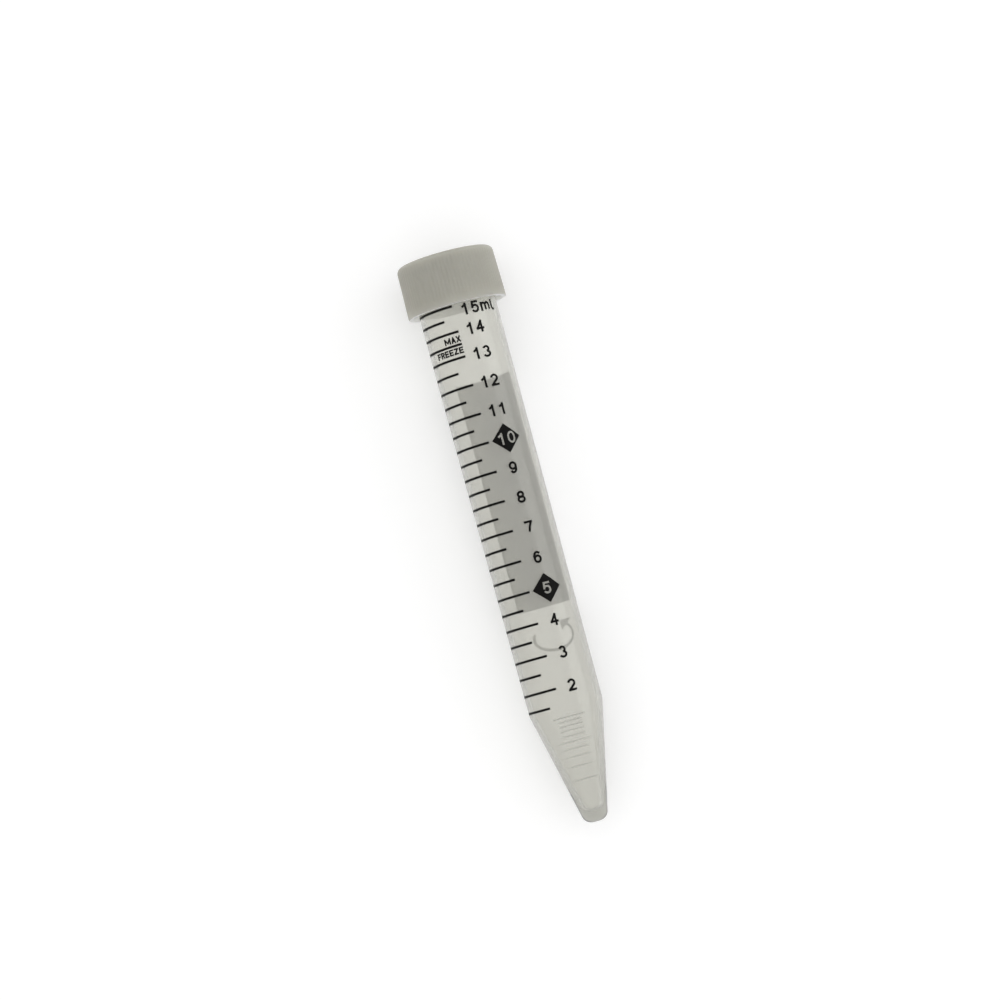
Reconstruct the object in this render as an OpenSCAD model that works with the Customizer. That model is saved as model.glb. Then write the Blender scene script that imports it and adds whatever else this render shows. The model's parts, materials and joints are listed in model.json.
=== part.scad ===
// Conical tube of 15 ml with its screw cap, lying on its side as it rests on a bench.
//
// Every piece is drawn standing on its tip: the axis is +Z, the tip is at z = 0 and the
// printed front faces -Y. lay() then lays the whole part down with the cap towards +X
// and the front upwards. Angles round the wall are measured from the middle of the
// front and grow towards +X. All lengths are in millimetres, all angles in degrees.

/* [Tube] */
// Length of the tube from its tip to its mouth
tube_length = 118.6; // [112:0.1:126]
// Outside diameter of the body at the mouth
body_top_d = 16.4; // [15.8:0.1:17]
// Outside diameter of the body where the cone begins
body_low_d = 15.5; // [15:0.1:16.4]
// Wall thickness at the mouth
wall_top = 0.9; // [0.7:0.05:1.2]
// Wall thickness where the cone begins
wall_low = 1.05; // [0.8:0.05:1.4]
// Height of the cone above the tip
cone_height = 23.9; // [21:0.1:26]
// Diameter of the flat spot under the tip
tip_flat_d = 1.5; // [0.8:0.1:2.4]
// Radius of the rounded edge round the tip
tip_edge_r = 2.0; // [1.2:0.1:2.4]
// Thickness of the plastic under the bottom of the cone
tip_thickness = 2.4; // [1.6:0.1:3.2]
// Radius of the rounded bottom inside the cone
tip_inside_r = 1.7; // [1.4:0.1:2]
// Radius of the rounded edge of the mouth
mouth_edge_r = 0.25; // [0.1:0.05:0.3]

/* [Screw thread] */
// Rise of the thread for one turn
thread_pitch = 3.0; // [2.4:0.1:3.4]
// Turns of thread on the neck
thread_turns = 1.75; // [1:0.25:2]
// Distance from the mouth down to the start of the neck's thread
thread_start = 2.2; // [1.8:0.1:2.6]
// How far each thread stands out of its wall
thread_rise = 0.42; // [0.3:0.02:0.5]
// Width of each thread where it meets its wall
thread_width = 1.3; // [1:0.05:1.5]
// Free space between the crests of the two threads
thread_clearance = 0.1; // [0.05:0.01:0.2]

/* [Cap] */
// Height of the cap
cap_height = 11.0; // [10:0.05:12]
// Thickness of the cap's top plate
cap_plate = 1.35; // [1:0.05:1.8]
// Wall of the cap behind the grooves of its grip
cap_wall = 0.98; // [0.7:0.02:1.2]
// How much further out the lower rim stands than the top
cap_flare = 0.2; // [0.1:0.05:0.6]
// Radius of the rounded edge round the top plate
cap_edge_r = 1.2; // [0.8:0.1:2]
// Radius of the rounded edge of the lower rim
rim_edge_r = 0.3; // [0.15:0.05:0.4]
// Height of the smooth band above the lower rim
rim_band = 1.5; // [1:0.1:2.5]
// Number of grip ribs round the cap
rib_count = 80; // [60:4:96]
// Depth of the grooves between the ribs under the top edge
rib_depth = 0.06; // [0.04:0.01:0.2]
// Length of the sealing ring that plugs the mouth
plug_length = 3.2; // [2:0.1:4]
// Wall of the sealing ring
plug_wall = 0.8; // [0.6:0.05:1]
// Free space round the sealing ring
plug_clearance = 0.05; // [0.03:0.01:0.1]
// Free space between the mouth and the cap's top plate
seat_clearance = 0.05; // [0.02:0.01:0.1]

/* [Printed scale] */
// Thickness of the printed ink
ink = 0.05; // [0.03:0.01:0.08]
// Free space between the wall and the ink
ink_clearance = 0.01; // [0.005:0.005:0.02]
// Volume in ml of the lowest mark
low_volume = 1.5; // [1:0.5:2]
// Distance from the edge of the cone up to the lowest mark
low_mark_rise = 0.7; // [0.5:0.05:3]
// Distance from the mouth down to the top mark
top_mark_depth = 9.85; // [9.6:0.05:12]
// Volume in ml at the knee of the scale, above which the marks are closer
knee_volume = 13; // [12:1:14]
// Distance for each ml above the knee
neck_pitch = 5.3; // [4.9:0.05:5.6]
// Distance for each ml at the lowest mark, as a share of that just below the knee
low_pitch_share = 1.17; // [1:0.01:1.3]
// Volume in ml of the fill limit before freezing
limit_volume = 13.5; // [13.5:0.5:14.5]
// Width of the mark lines
mark_width = 0.48; // [0.2:0.02:0.52]
// Angle at which every mark starts, at the side of the tube
mark_side_angle = -80; // [-84:1:-70]
// Angle at which the marks of whole millilitres end
long_mark_angle = -7.4; // [-10:0.1:-3]
// Angle at which the marks of half millilitres end
short_mark_angle = -24.3; // [-30:0.1:-18]

/* [Numbers and badges] */
// Angle of the middle of the number column
number_angle = 17.5; // [16:0.5:20]
// Angle of the middle of the badges
badge_angle = 19.5; // [18:0.5:22]
// Height of the printed numbers
digit_h = 2.5; // [2:0.1:2.8]
// Width of the printed numbers
digit_w = 1.75; // [1.3:0.05:1.9]
// Gap between two characters side by side
digit_gap = 0.42; // [0.2:0.02:0.5]
// Line width of the numbers
digit_stroke = 0.46; // [0.26:0.02:0.5]
// How far the top number sits below its mark
top_number_drop = 1.15; // [0.8:0.05:1.6]
// Width of the diamond badges
badge_w = 6.0; // [5.4:0.1:6.4]
// Height of the diamond badges
badge_h = 6.1; // [5.4:0.1:6.6]
// Line width of the numbers in the badges
badge_stroke = 0.42; // [0.26:0.02:0.46]
// Height of the letters at the fill limit
limit_letter_h = 1.32; // [1:0.02:1.4]
// Width of the letters at the fill limit
limit_letter_w = 0.94; // [0.7:0.02:1]
// Gap between the letters at the fill limit
limit_letter_gap = 0.16; // [0.1:0.01:0.3]
// Line width of the letters at the fill limit
limit_stroke = 0.3; // [0.16:0.01:0.32]
// Gap between the letters and the line of the fill limit
limit_line_gap = 0.28; // [0.15:0.01:0.35]

/* [Back of the tube] */
// Angle of the middle of the writing panel
panel_angle = 161.5; // [155:0.5:180]
// Width of the writing panel, along the curve
panel_width = 16.0; // [10:0.1:18]
// Volume in ml level with the writing panel's lower edge
panel_low_volume = 4.5; // [4:0.25:6]
// Volume in ml level with the writing panel's upper edge
panel_top_volume = 12.3; // [10:0.1:13]
// Gap between the writing panel and the ring mark under it
ring_gap = 3.2; // [1:0.1:4]
// Angle of the middle of the ring mark
ring_angle = 165; // [160:1:180]
// Width of the ring mark
ring_w = 10.2; // [7:0.1:10.6]
// Height of the ring mark
ring_h = 6.2; // [4.8:0.1:6.6]
// Line width of the ring mark
ring_stroke = 0.6; // [0.3:0.05:0.7]
// Width of the ring mark's arrowhead
arrow_w = 3.3; // [2:0.1:4]
// Height of the ring mark's arrowhead
arrow_h = 2.1; // [1.4:0.1:2.6]

/* [Moulded marks on the cone] */
// Volume in ml of the highest moulded mark
moulded_top_volume = 1.0; // [0.5:0.1:1]
// Width of the short moulded marks, along the curve
moulded_short = 5.0; // [3:0.1:6]
// Width of the moulded marks at each half millilitre, along the curve
moulded_long = 6.6; // [6:0.1:8]
// Width of the line of a moulded mark
moulded_line = 0.3; // [0.2:0.02:0.5]
// How far the moulded marks stand out of the cone
moulded_rise = 0.12; // [0.06:0.01:0.2]

/* [Hidden] */
$fn = 96;

INK_BLACK = [0.10, 0.095, 0.085];
NATURAL = [0.86, 0.86, 0.83, 0.5];
NATURAL_CAP = [0.72, 0.715, 0.67];
INK_WHITE = [0.90, 0.90, 0.88];

// Small depth by which solids of one piece run into each other
merge = 0.2;
// Segments of thread for one turn, and the part of a turn over which its ends fade
thread_steps = 36;
thread_fade = 0.12;

body_top_r = body_top_d / 2;
body_low_r = body_low_d / 2;
bore_top_r = body_top_r - wall_top;
bore_low_r = body_low_r - wall_low;

// Angle from the axis of a line that starts dr out and dh up from the middle of a
// circle of radius r, and runs down to touch that circle on its outer side
function touching_line(dr, dh, r) = atan2(dr, dh) - asin(r / norm([dr, dh]));

// Where that line touches the circle round middle m
function touch_point(m, r, lean) = m + r * [cos(lean), -sin(lean)];

tip_middle = [tip_flat_d / 2, tip_edge_r];
cone_lean = touching_line(body_low_r - tip_middle.x, cone_height - tip_middle.y, tip_edge_r);
bore_low_z = cone_height + wall_low * tan(cone_lean / 2);
inside_middle = [0, tip_thickness + tip_inside_r];
inside_lean = touching_line(bore_low_r, bore_low_z - inside_middle.y, tip_inside_r);

// Outer radius of the body, and of the cone, at height z
function body_r(z) = body_low_r
    + (body_top_r - body_low_r) * (z - cone_height) / (tube_length - cone_height);
function cone_r(z) = body_low_r - (cone_height - z) * tan(cone_lean);

// Heights of the cap's faces while it is closed
plate_under_z = tube_length + seat_clearance;
cap_top_z = plate_under_z + cap_plate;
rim_z = cap_top_z - cap_height;

// The cap clears the neck's thread by its own thread and the free space between them
thread_crest_r = body_top_r + thread_rise;
cap_bore_r = thread_crest_r + thread_clearance + thread_rise;
rib_root_r = cap_bore_r + cap_wall;
cap_top_r = rib_root_r + rib_depth;
cap_rim_r = cap_top_r + cap_flare;
plug_r = bore_top_r - plug_clearance;

// Lying down, the part touches the bench with the round edge of the cap's rim and with
// the corner between the body and the cone
rest_run = rim_z + rim_edge_r - cone_height;
rest_rise = cap_rim_r - rim_edge_r - body_low_r;
lean = atan2(rest_rise, rest_run) + asin(rim_edge_r / norm([rest_run, rest_rise]));
axis_height = body_low_r * cos(lean) - cone_height * sin(lean);
end_low = tip_middle.y * cos(lean) - tip_middle.x * sin(lean) - tip_edge_r;
end_high = (cap_top_z - cap_edge_r) * cos(lean) + (cap_top_r - cap_edge_r) * sin(lean)
    + cap_edge_r;

top_volume = 15;
badge_volumes = [5, 10];
half_ml = 0.5;
tenth_ml = 0.1;

// The knee of the scale hangs from the mouth. Below it the marks run down to the cone.
knee_height = tube_length - top_mark_depth - neck_pitch * (top_volume - knee_volume);
low_span = knee_volume - low_volume;
pitch_growth = (low_pitch_share - 1) / 3;
body_pitch = (knee_height - cone_height - low_mark_rise) / low_span / (1 + pitch_growth);

// Height of the mark for a volume: evenly spaced above the knee, and below it with a
// spacing that grows with the square of the distance from the knee, as the bore narrows
function mark_height(volume) =
    let (below = knee_volume - volume)
    below < 0 ? knee_height - neck_pitch * below
    : knee_height - body_pitch * (below + pitch_growth * pow(below, 3) / pow(low_span, 2));

panel_low = mark_height(panel_low_volume);
panel_top = mark_height(panel_top_volume);
ring_z = panel_low - ring_gap - ring_h / 2;

// Angles between which the ring mark's line runs, clockwise
ring_from = 27;
ring_to = -225;

// Height to which a small volume in ml fills the inside of the cone: the rounded bottom
// is a cap of a sphere, and the rest above it a cone cut off at the sphere's edge
cap_depth = tip_inside_r * (1 - sin(inside_lean));
cap_volume = PI * pow(cap_depth, 2) * (3 * tip_inside_r - cap_depth) / 3;
function cone_mark_height(volume) =
    let (slope = tan(inside_lean), edge_r = tip_inside_r * cos(inside_lean))
    let (cone_volume = 1000 * volume - cap_volume)
    let (r = pow(pow(edge_r, 3) + 3 * slope * cone_volume / PI, 1 / 3))
    bore_low_z - (bore_low_r - r) / slope;

// True for a volume whose mark is long
function is_long(volume) = volume == floor(volume) || volume == limit_volume;

// Lays an upright piece down, with the part's lowest points at z = 0
module lay() {
    translate([-(end_low + end_high) / 2, 0, axis_height])
        rotate([0, 90 - lean, 0])
            rotate([0, 0, -90])
                children();
}

// ---- Characters, as strokes in a box of 1 by 1 ----

// Points along an ellipse of middle m and radii r, from angle a to angle b
function arc(m, r, a, b) =
    let (steps = ceil(abs(b - a) / 15))
    [for (i = [0:steps])
        let (t = a + (b - a) * i / steps) m + [r.x * cos(t), r.y * sin(t)]];

// Every point of a path turned half round in the box
function half_turn(paths) = [for (path = paths) [for (p = path) [1, 1] - p]];

SIX = [arc([0.5, 0.32], [0.48, 0.32], 0, 360), arc([0.54, 0.48], [0.52, 0.52], 185, 40)];

function letter_strokes(c) =
    c == "M" ? [[[0, 0], [0, 1]], [[0, 1], [0.5, 0.2]], [[0.5, 0.2], [1, 1]], [[1, 1], [1, 0]]]
    : c == "A" ? [[[0, 0], [0.5, 1]], [[0.5, 1], [1, 0]], [[0.2, 0.3], [0.8, 0.3]]]
    : c == "X" ? [[[0, 0], [1, 1]], [[0, 1], [1, 0]]]
    : c == "F" ? [[[0, 0], [0, 1]], [[0, 1], [1, 1]], [[0, 0.5], [0.8, 0.5]]]
    : c == "E" ? [[[0, 0], [0, 1]], [[0, 1], [1, 1]], [[0, 0.5], [0.9, 0.5]], [[0, 0], [1, 0]]]
    : c == "Z" ? [[[0, 1], [1, 1]], [[1, 1], [0, 0]], [[0, 0], [1, 0]]]
    : c == "R" ? [[[0, 0], [0, 1]], concat([[0, 1]], arc([0.6, 0.74], [0.4, 0.26], 90, -90),
        [[0, 0.48]]), [[0.6, 0.48], [1, 0]]]
    : c == "m" ? [[[0, 0], [0, 1]], concat(arc([0.25, 0.65], [0.25, 0.35], 180, 0), [[0.5, 0]]),
        concat(arc([0.75, 0.65], [0.25, 0.35], 180, 0), [[1, 0]])]
    : [concat([[0, 1]], arc([0.6, 0.2], [0.6, 0.2], 180, 270), [[1, 0]])];

function strokes(c) =
    c == "0" ? [arc([0.5, 0.5], [0.5, 0.5], 0, 360)]
    : c == "1" ? [[[0.62, 0], [0.62, 1]], [[0.62, 0.92], [0.2, 0.76]]]
    : c == "2" ? [concat(arc([0.5, 0.69], [0.48, 0.31], 170, -30), [[0, 0.02]]), [[0, 0], [1, 0]]]
    : c == "3" ? [arc([0.47, 0.755], [0.42, 0.245], 160, -85), arc([0.47, 0.26], [0.5, 0.26], 85, -165)]
    : c == "4" ? [[[0.72, 0], [0.72, 1]], [[0.72, 1], [0, 0.3]], [[0, 0.3], [1, 0.3]]]
    : c == "5" ? [[[0.16, 1], [0.92, 1]], [[0.16, 1], [0.06, 0.48]],
        arc([0.48, 0.33], [0.5, 0.33], 150, -155)]
    : c == "6" ? SIX
    : c == "7" ? [[[0, 1], [1, 1]], [[1, 1], [0.6, 0.5], [0.38, 0]]]
    : c == "8" ? [arc([0.5, 0.75], [0.42, 0.25], 0, 360), arc([0.5, 0.26], [0.5, 0.26], 0, 360)]
    : c == "9" ? half_turn(SIX)
    : letter_strokes(c);

// Width and height of a character, as shares of a digit's
function share_w(c) = c == "M" ? 1.5 : c == "m" ? 1.4 : c == "l" ? 0.65 : 1;
function share_h(c) = c == "m" ? 0.77 : 1;

// Distance from the start of a word to the start of its character i
function start_of(word, i, w, gap) =
    i == 0 ? 0 : start_of(word, i - 1, w, gap) + w * share_w(word[i - 1]) + gap;

// One side of a stroke: its points moved sideways by d
function beside(path, d) =
    let (last = len(path) - 1, closed = norm(path[0] - path[last]) < 0.001)
    [for (i = [0:last])
        let (before = i > 0 ? path[i - 1] : closed ? path[last - 1] : path[0])
        let (after = i < last ? path[i + 1] : closed ? path[1] : path[last])
        let (along = (after - before) / norm(after - before))
        path[i] + d * [-along.y, along.x]];

// A stroke of one line width. A straight one ends square, half a line width further on.
module stroke(path, width) {
    last = len(path) - 1;
    along = (path[1] - path[0]) / norm(path[1] - path[0]) * width / 2;
    line = last == 1 ? [path[0] - along, path[1] + along] : path;
    if (norm(path[0] - path[last]) < 0.001) {
        difference() {
            polygon(beside(line, -width / 2));
            polygon(beside(line, width / 2));
        }
    } else {
        right = beside(line, -width / 2);
        polygon(concat(beside(line, width / 2), [for (i = [last:-1:0]) right[i]]));
    }
}

// One character in a box of w by h whose middle line is x = 0, centred in height unless
// it is a low letter, which stands on the line of the others
module character(c, w, h, width) {
    inner = [w * share_w(c) - width, h * share_h(c) - width];
    for (path = strokes(c))
        stroke([for (p = path) [(p.x - 0.5) * inner.x, p.y * inner.y + (width - h) / 2]], width);
}

// ---- Print on the wall ----

// Section of the layer of ink between two heights
function ink_section(low, high) =
    let (inner = [body_r(low), body_r(high)] + ink_clearance * [1, 1])
    [[inner[0], low], [inner[0] + ink, low], [inner[1] + ink, high], [inner[1], high]];

// The layer of ink between two heights, all the way round the body
module ink_layer(low, high) {
    rotate_extrude()
        polygon(ink_section(low, high));
}

// A flat shape carried straight out through the wall at a point of it
module through_wall(angle, height) {
    rotate([0, 0, angle])
        translate([0, -body_low_r / 2, height])
            rotate([90, 0, 0])
                linear_extrude(body_top_r)
                    children();
}

// A band of ink between two heights and two angles
module ink_band(low, high, from, to) {
    rotate([0, 0, from - 90])
        rotate_extrude(angle = to - from)
            polygon(ink_section(low, high));
}

// A word through the wall, with the middle of its first characters, as many as centred
// says, at an angle and a height. Each character faces straight out.
module word(word, centred, angle, height, w, h, gap, width) {
    total = start_of(word, centred, w, gap) - gap;
    for (i = [0:len(word) - 1]) {
        across = start_of(word, i, w, gap) + w * share_w(word[i]) / 2 - total / 2;
        through_wall(angle + across / body_r(height) * 180 / PI, height)
            character(word[i], w, h, width);
    }
}

// A number through the wall, with a unit after it or none
module number(volume, unit, angle, height, width) {
    word(str(volume, unit), len(str(volume)), angle, height, digit_w, digit_h, digit_gap, width);
}

// ---- Screw thread ----

// One round of the helix's four corners, share t of the way along it. The helix stands
// out of a wall of radius r, outwards if side is 1 and inwards if it is -1.
function thread_corners(r, side, z, turns, t) =
    let (fade = min(1, min(t, 1 - t) * turns / thread_fade))
    let (crest = r + side * (thread_rise * fade - merge / 2 * (1 - fade)))
    let (root = r - side * merge, up = z - turns * thread_pitch * t, a = 360 * turns * t)
    [for (corner = [[root, -0.5], [crest, -0.2], [crest, 0.2], [root, 0.5]])
        [corner[0] * cos(a), corner[0] * sin(a), up + corner[1] * thread_width]];

module thread(r, side, z, turns) {
    steps = ceil(turns * thread_steps);
    points = [for (i = [0:steps]) each thread_corners(r, side, z, turns, i / steps)];
    sides = [for (i = [0:steps - 1], j = [0:3])
        let (a = 4 * i + j, b = 4 * i + (j + 1) % 4) each [[a, b, b + 4], [a, b + 4, a + 4]]];
    ends = [[3, 2, 1], [3, 1, 0],
        [4 * steps, 4 * steps + 1, 4 * steps + 2], [4 * steps, 4 * steps + 2, 4 * steps + 3]];
    faces = concat(sides, ends);
    polyhedron(points, side > 0 ? faces : [for (f = faces) [f[2], f[1], f[0]]]);
}

// ---- The pieces ----

module tube_outside() {
    touch = touch_point(tip_middle, tip_edge_r, cone_lean);
    rotate_extrude() {
        polygon([[0, 0], [tip_middle.x, 0], touch, [body_low_r, cone_height],
            [body_top_r, tube_length - mouth_edge_r], [body_top_r - mouth_edge_r, tube_length],
            [0, tube_length]]);
        intersection() {
            translate(tip_middle) circle(tip_edge_r);
            square([tip_middle.x + tip_edge_r, 2 * tip_edge_r]);
        }
        translate([body_top_r - mouth_edge_r, tube_length - mouth_edge_r]) circle(mouth_edge_r);
    }
}

module tube_inside() {
    above = tube_length + 1;
    touch = touch_point(inside_middle, tip_inside_r, inside_lean);
    rotate_extrude() {
        polygon([[0, inside_middle.y], touch, [bore_low_r, bore_low_z],
            [bore_top_r, tube_length], [bore_top_r, above], [0, above]]);
        intersection() {
            translate(inside_middle) circle(tip_inside_r);
            square([tip_inside_r, inside_middle.y + tip_inside_r]);
        }
    }
}

// Raised lines across the front of the cone
module moulded_marks() {
    half = moulded_line / 2;
    for (i = [1:round(moulded_top_volume / tenth_ml)]) {
        z = cone_mark_height(i * tenth_ml);
        length = i % 5 == 0 ? moulded_long : moulded_short;
        spread = length / cone_r(z) * 180 / PI;
        rotate([0, 0, -90 - spread / 2])
            rotate_extrude(angle = spread)
                polygon([[cone_r(z) - merge, z - half], [cone_r(z) + moulded_rise, z - half / 2],
                    [cone_r(z) + moulded_rise, z + half / 2], [cone_r(z) - merge, z + half]]);
    }
}

module tube() {
    color(NATURAL) lay() difference() {
        union() {
            tube_outside();
            moulded_marks();
            thread(body_top_r, 1, tube_length - thread_start, thread_turns);
        }
        tube_inside();
    }
}

// The cap's shape without ribs: a tapered side with a rounded top edge
module cap_outline() {
    rotate_extrude() {
        polygon([[0, rim_z], [cap_rim_r, rim_z], [cap_top_r, cap_top_z - cap_edge_r],
            [cap_top_r - cap_edge_r, cap_top_z], [0, cap_top_z]]);
        translate([cap_top_r - cap_edge_r, cap_top_z - cap_edge_r]) circle(cap_edge_r);
    }
}

// A toothed disc that gives the side its ribs, and reaches past the rim in diameter
module ribs() {
    pitch = 360 / rib_count;
    translate([0, 0, rim_z + rim_band / 2])
        linear_extrude(cap_height)
            polygon([for (i = [0:rib_count - 1], t = [[-0.4, 0], [-0.2, 1], [0.2, 1], [0.4, 0]])
                let (r = t[1] == 0 ? rib_root_r : cap_rim_r + merge, a = (i + t[0]) * pitch)
                [r * cos(a), r * sin(a)]]);
}

module rim_ring() {
    rotate_extrude() {
        polygon([[cap_bore_r, rim_z], [cap_rim_r - rim_edge_r, rim_z],
            [cap_rim_r, rim_z + rim_edge_r], [cap_rim_r, rim_z + rim_band],
            [cap_bore_r, rim_z + rim_band]]);
        translate([cap_rim_r - rim_edge_r, rim_z + rim_edge_r]) circle(rim_edge_r);
    }
}

module cap() {
    color(NATURAL_CAP) lay() {
        difference() {
            union() {
                intersection() {
                    cap_outline();
                    ribs();
                }
                rim_ring();
            }
            translate([0, 0, rim_z - merge])
                cylinder(h = plate_under_z - rim_z + merge, r = cap_bore_r);
        }
        thread(cap_bore_r, -1, tube_length - thread_start - thread_pitch / 2, thread_turns);
        rotate_extrude()
            polygon([[plug_r - plug_wall, plate_under_z + merge], [plug_r, plate_under_z + merge],
                [plug_r, plate_under_z - plug_length * 2 / 3],
                [plug_r - plug_wall / 3, plate_under_z - plug_length],
                [plug_r - plug_wall, plate_under_z - plug_length]]);
    }
}

module graduation_marks() {
    color(INK_BLACK) lay()
        for (volume = [low_volume:half_ml:top_volume]) {
            z = mark_height(volume);
            ink_band(z - mark_width / 2, z + mark_width / 2, mark_side_angle,
                is_long(volume) ? long_mark_angle : short_mark_angle);
        }
}

module volume_numbers() {
    color(INK_BLACK) lay() intersection() {
        ink_layer(cone_height, tube_length);
        for (volume = [ceil(low_volume):top_volume - 1])
            if (len(search(volume, badge_volumes)) == 0)
                number(volume, "", number_angle, mark_height(volume), digit_stroke);
    }
    color(INK_BLACK) lay() intersection() {
        ink_layer(cone_height, tube_length);
        number(top_volume, "ml", number_angle, mark_height(top_volume) - top_number_drop,
            digit_stroke);
    }
}

// Black diamonds with the number left free of ink
module volume_badges() {
    color(INK_BLACK) lay() intersection() {
        ink_layer(cone_height, tube_length);
        for (volume = badge_volumes)
            difference() {
                through_wall(badge_angle, mark_height(volume))
                    polygon([[-badge_w / 2, 0], [0, -badge_h / 2], [badge_w / 2, 0],
                        [0, badge_h / 2]]);
                number(volume, "", badge_angle, mark_height(volume), badge_stroke);
            }
    }
}

// A word at the fill limit that ends where the long marks end
module limit_word(letters, height) {
    length = start_of(letters, len(letters), limit_letter_w, limit_letter_gap) - limit_letter_gap;
    word(letters, len(letters), long_mark_angle - length / 2 / body_r(height) * 180 / PI, height,
        limit_letter_w, limit_letter_h, limit_letter_gap, limit_stroke);
}

module fill_limit_words() {
    line_z = mark_height(limit_volume);
    away = mark_width / 2 + limit_line_gap + limit_letter_h / 2;
    color(INK_BLACK) lay() intersection() {
        ink_layer(line_z - 2 * away, line_z + 2 * away);
        union() {
            limit_word("MAX", line_z + away);
            limit_word("FREEZE", line_z - away);
        }
    }
}

module writing_panel() {
    half = panel_width / 2 / body_r((panel_low + panel_top) / 2) * 180 / PI;
    color(INK_WHITE) lay()
        ink_band(panel_low, panel_top, panel_angle - half, panel_angle + half);
}

// An open ring that ends in an arrowhead: a square corner, whose open side is met by the
// ring's line in its middle
module ring_mark() {
    radii = [ring_w - ring_stroke, ring_h - ring_stroke] / 2;
    ring = arc([0, 0], radii, ring_from, ring_to);
    end = ring[len(ring) - 1];
    // From the line's end to the corner, drawn back a little so that the two run together
    corner = [arrow_w, arrow_h] / 2 - ring_stroke / 4 * [1, 1];
    color(INK_WHITE) lay() intersection() {
        ink_layer(ring_z - ring_h, ring_z + ring_h);
        through_wall(ring_angle, ring_z) {
            stroke(ring, ring_stroke);
            translate(end + corner)
                polygon([[0, 0], [0, -arrow_h], [-arrow_w, 0]]);
        }
    }
}

tube();
cap();
graduation_marks();
volume_numbers();
volume_badges();
fill_limit_words();
writing_panel();
ring_mark();
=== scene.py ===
"""Dresses a 15 ml conical tube with its screw cap for the studio.

The tube lies on its side on a white table, with its printed scale upwards. Its own axis
runs from the tip towards the cap and rises a little, because the rim of the cap is wider
than the body. Every moulding is first worked out upright, with the tip at height zero,
the axis along z and the printed front towards -y, and is then laid down on that axis.
"""

import json
import logging
import math
from dataclasses import dataclass
from enum import Enum

import bpy
import numpy as np
from mathutils import Matrix, Vector


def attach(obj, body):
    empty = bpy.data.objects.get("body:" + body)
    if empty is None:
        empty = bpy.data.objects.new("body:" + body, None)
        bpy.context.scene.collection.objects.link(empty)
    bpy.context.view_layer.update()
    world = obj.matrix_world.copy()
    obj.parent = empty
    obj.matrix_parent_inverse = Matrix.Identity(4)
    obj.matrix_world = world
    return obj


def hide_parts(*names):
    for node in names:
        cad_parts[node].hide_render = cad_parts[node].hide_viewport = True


log = logging.getLogger("tube")

MM = 0.001

# Distance in millimetres under which two points of a profile count as one
SAME_POINT = 1e-4
# A tenth of a millilitre, in cubic millimetres
TENTH_ML = 100.0

BLACK_INK = (0.002, 0.0018, 0.0015, 1.0)
WHITE_INK = (0.86, 0.855, 0.835, 1.0)
# Painted shade: the white ink's side towards the wall, seen through the tube, is greyer than its outer side
WHITE_INK_SHADED_SIDE = (0.6, 0.595, 0.57, 1.0)

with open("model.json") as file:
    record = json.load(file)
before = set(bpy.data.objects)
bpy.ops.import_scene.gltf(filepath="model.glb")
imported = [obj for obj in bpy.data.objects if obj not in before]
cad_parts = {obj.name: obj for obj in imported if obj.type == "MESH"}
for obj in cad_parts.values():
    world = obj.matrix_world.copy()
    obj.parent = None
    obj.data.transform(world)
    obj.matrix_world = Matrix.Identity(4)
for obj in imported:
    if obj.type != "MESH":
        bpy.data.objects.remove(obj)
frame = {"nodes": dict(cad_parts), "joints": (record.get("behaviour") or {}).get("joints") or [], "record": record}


class Body(Enum):
    """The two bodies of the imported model."""

    TUBE = "tube"
    CAP = "cap"


class Slot(Enum):
    """The material slots of the record."""

    TUBE = "tube_plastic"
    CAP = "cap_plastic"
    BLACK = "black_ink"
    WHITE = "white_ink"


# ---- Where the tube lies ----


@dataclass(frozen=True)
class Rest:
    """The line that the tube's axis takes while the tube lies on the table."""

    tip: Vector
    along: Vector
    front: Vector
    side: Vector

    @classmethod
    def from_frame(cls, overall: float) -> "Rest":
        """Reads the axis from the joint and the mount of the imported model.

        Args:
            overall: Length of the closed tube, from its tip to the top of its cap.

        Returns:
            The axis, with the tip as its start.
        """
        along = Vector(frame["joints"][0]["axis"]).normalized()
        top = next(m for m in frame["record"]["mounts"] if m["name"] == "cap_top")
        side = Vector((0, -1, 0))
        return cls(Vector(top["pos_m"]) - overall * along, along, side.cross(along), side)

    def lay(self, points: np.ndarray) -> np.ndarray:
        """Lays upright points down on the axis.

        Each point goes to tip + x * side - y * front + z * along.

        Args:
            points: Rows of x, y and z of the upright model.

        Returns:
            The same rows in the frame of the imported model.
        """
        turn = np.array([self.side, -self.front, self.along])
        return points @ turn + np.array(self.tip)


# ---- Surfaces ----


def arc(middle: tuple[float, float], radius: float, start: float, end: float, steps: int) -> np.ndarray:
    """Points along an arc: middle + radius * (cos a, sin a), for a from start to end.

    Args:
        middle: Radius and height of the arc's middle.
        radius: Radius of the arc.
        start: Angle of the first point in degrees.
        end: Angle of the last point in degrees.
        steps: Number of parts that the arc is cut into.

    Returns:
        Rows of radius and height.
    """
    a = np.radians(np.linspace(start, end, steps + 1))
    return np.stack([middle[0] + radius * np.cos(a), middle[1] + radius * np.sin(a)], axis=1)


def line(start: tuple[float, float], end: tuple[float, float], step: float) -> np.ndarray:
    """Points along a straight line, spaced evenly and no further apart than a step.

    Args:
        start: Radius and height of the first point.
        end: Radius and height of the last point.
        step: The longest spacing.

    Returns:
        Rows of radius and height.
    """
    count = max(1, math.ceil(math.dist(start, end) / step))
    return np.linspace(start, end, count + 1)


def joined(*stretches: np.ndarray) -> np.ndarray:
    """Joins stretches of a profile end to end and drops the points that repeat.

    Args:
        stretches: Rows of radius and height, one array for each stretch.

    Returns:
        Rows of radius and height.
    """
    rows = np.concatenate(stretches)
    apart = np.linalg.norm(np.diff(rows, axis=0), axis=1) > SAME_POINT
    return rows[np.concatenate([[True], apart])]


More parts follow.
